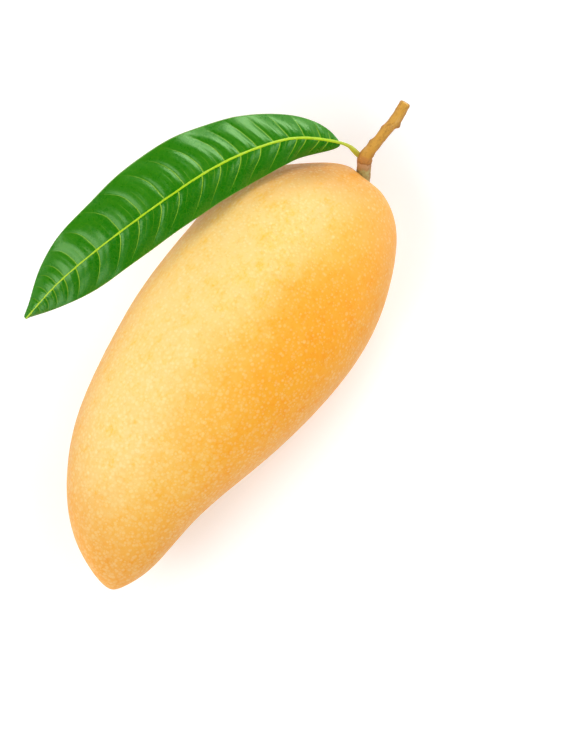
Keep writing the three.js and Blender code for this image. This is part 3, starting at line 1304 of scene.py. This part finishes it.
@dataclass
class Studio:
    """The pale floor, the soft lights and the camera at the photograph's view."""

    picture_size: Span = (571.0, 741.0)
    tip_pixel: Span = (110.0, 590.0)
    fruit_slant: float = math.radians(59.0)
    mm_per_pixel: float = 160.0 / 487.0
    lens: float = 100.0
    sensor: float = 36.0
    outline_height: float = 31.0
    floor_tone: Colour = (0.97, 0.97, 0.97)
    floor_reach: float = 3.0
    floor_glow: float = 0.18
    far_glow: float = 0.9
    glow_fade: Span = (0.3, 1.5)
    side_sky: float = 1.05
    top_sky: float = 0.04
    sky_fade: Span = (0.25, 0.55)
    flag_lean: Span = (66.0, -64.0)
    flag_edge: Span = (0.80, 0.93)
    flag_level: float = 0.1
    softbox_distance: float = 1.2
    softboxes: tuple[Softbox, ...] = (
        Softbox("key", (-32.0, -16.0), (0.80, 0.70), 8.4),
        Softbox("right_fill", (60.0, -2.0), (0.60, 0.60), 3.5),
        Softbox("near_fill", (-4.0, -60.0), (0.60, 0.60), 2.8),
        Softbox("strip", (28.0, 54.0), (0.80, 0.36), 8.8),
    )

    def picture_axes(self) -> tuple[Vector, Vector]:
        """Give the picture's right and up directions in the row frame."""
        right = Vector((math.cos(self.fruit_slant), -math.sin(self.fruit_slant), 0.0))
        up = Vector((math.sin(self.fruit_slant), math.cos(self.fruit_slant), 0.0))
        return right, up

    def aim(self) -> Vector:
        """Find the point that the picture's middle shows, in the row frame."""
        right, up = self.picture_axes()
        across = (self.picture_size[0] / 2.0 - self.tip_pixel[0]) * self.mm_per_pixel
        upward = (self.tip_pixel[1] - self.picture_size[1] / 2.0) * self.mm_per_pixel
        target = to_row(right * across + up * upward)
        target.z = self.outline_height * MM
        return target

    def add_camera(self) -> None:
        """Put the camera straight above the point it aims at, turned as the photograph is."""
        data = bpy.data.cameras.new("camera")
        data.lens = self.lens
        data.sensor_width = self.sensor
        data.clip_start = 0.01
        data.clip_end = 20.0
        camera = bpy.data.objects.new("camera", data)
        bpy.context.scene.collection.objects.link(camera)
        pixels = self.lens * self.picture_size[1] / self.sensor
        right, up = self.picture_axes()
        camera.matrix_world = Matrix.Translation(
            self.aim() + UP * pixels * self.mm_per_pixel * MM
        ) @ Matrix((right, up, UP)).transposed().to_4x4()
        bpy.context.scene.camera = camera

    def toward(self, right_angle: float, up_angle: float) -> Vector:
        """Give a direction from the fruit that leans away from straight up.

        Args:
            right_angle: How far it leans towards the picture's right, in degrees.
            up_angle: How far it leans towards the picture's top, in degrees.

        Returns:
            The unit vector in the row frame.
        """
        right, up = self.picture_axes()
        rightward = right * math.tan(math.radians(right_angle))
        upward = up * math.tan(math.radians(up_angle))
        return (rightward + upward + UP).normalized()

    def add_softbox(self, box: Softbox) -> None:
        """Add a softbox that faces the fruit."""
        direction = self.toward(*box.lean)
        data = bpy.data.lights.new(box.name, "AREA")
        data.shape = "RECTANGLE"
        data.size, data.size_y = box.size
        data.energy = box.power
        light = bpy.data.objects.new(box.name, data)
        bpy.context.scene.collection.objects.link(light)
        turned = direction.to_track_quat("Z", "Y").to_matrix().to_4x4()
        place = self.aim() + direction * self.softbox_distance
        light.matrix_world = Matrix.Translation(place) @ turned

    def add_floor(self) -> None:
        """Lay the pale floor under the fruit, with a glow that grows away from it."""
        mesh = bmesh.new()
        bmesh.ops.create_grid(mesh, x_segments=1, y_segments=1, size=self.floor_reach)
        data = bpy.data.meshes.new("floor")
        mesh.to_mesh(data)
        mesh.free()
        floor = bpy.data.objects.new("floor", data)
        bpy.context.scene.collection.objects.link(floor)
        material, graph, shader = start_material("pale_floor")
        place = graph.place()
        tone = graph.ease(graph.noise(place, 3.0), 0.3, 0.7)
        graph.feed(shader.inputs["Base Color"], graph.mix(tone, self.floor_tone, (1.0, 1.0, 1.0)))
        shader.inputs["Roughness"].default_value = 0.9
        shader.inputs["Specular IOR Level"].default_value = 0.1
        away = graph.node("ShaderNodeVectorMath", {0: place}, operation="LENGTH").outputs["Value"]
        near_glow = (self.floor_glow / self.far_glow,) * 3
        glow = graph.mix(graph.ease(away, *self.glow_fade), near_glow, (1.0, 1.0, 1.0))
        graph.feed(shader.inputs["Emission Color"], glow)
        shader.inputs["Emission Strength"].default_value = self.far_glow
        data.materials.append(material)

    def add_sky(self) -> None:
        """Fill the room with soft white light, with the dark ceiling and one dark flag left out."""
        world = bpy.data.worlds.new("studio")
        world.use_nodes = True
        graph = Graph(world.node_tree)
        direction = graph.node("ShaderNodeTexCoord").outputs["Generated"]
        height = graph.node("ShaderNodeSeparateXYZ", {"Vector": direction}).outputs["Z"]
        background = world.node_tree.nodes["Background"]
        background.inputs["Color"].default_value = (1.0, 1.0, 1.0, 1.0)
        inputs = {0: direction, 1: self.toward(*self.flag_lean)}
        flag = graph.node("ShaderNodeVectorMath", inputs, operation="DOT_PRODUCT").outputs["Value"]
        level = graph.ease(height, *self.sky_fade, self.side_sky, self.top_sky)
        shown = graph.ease(flag, *self.flag_edge, 1.0, self.flag_level)
        graph.feed(background.inputs["Strength"], graph.times(level, shown))
        bpy.context.scene.world = world

    def build(self) -> None:
        """Build the whole studio."""
        self.add_camera()
        self.add_floor()
        self.add_sky()
        for box in self.softboxes:
            self.add_softbox(box)
        bpy.context.scene.view_settings.view_transform = "Standard"
        bpy.context.scene.view_settings.look = "None"


def write_sizes() -> None:
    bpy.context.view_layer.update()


def main() -> None:
    """Build the studio, then the fruit, the stem and the leaf."""
    logging.basicConfig(level=logging.INFO)
    Studio().build()
    effects = SharedEffects(build_speckle_group(), build_mottle_group())
    stem = Stem(BarkFinish(effects), CutWoodFinish(effects))
    fruit = Fruit(SkinFinish(effects), stem_foot=stem.line.at(1.0 / stem.line.spans))
    leaf = Leaf(BladeFinish(effects), RibFinish(effects))
    fruit.build()
    stem.build()
    leaf.build()
    write_sizes()


if __name__ == "__main__":
    main()
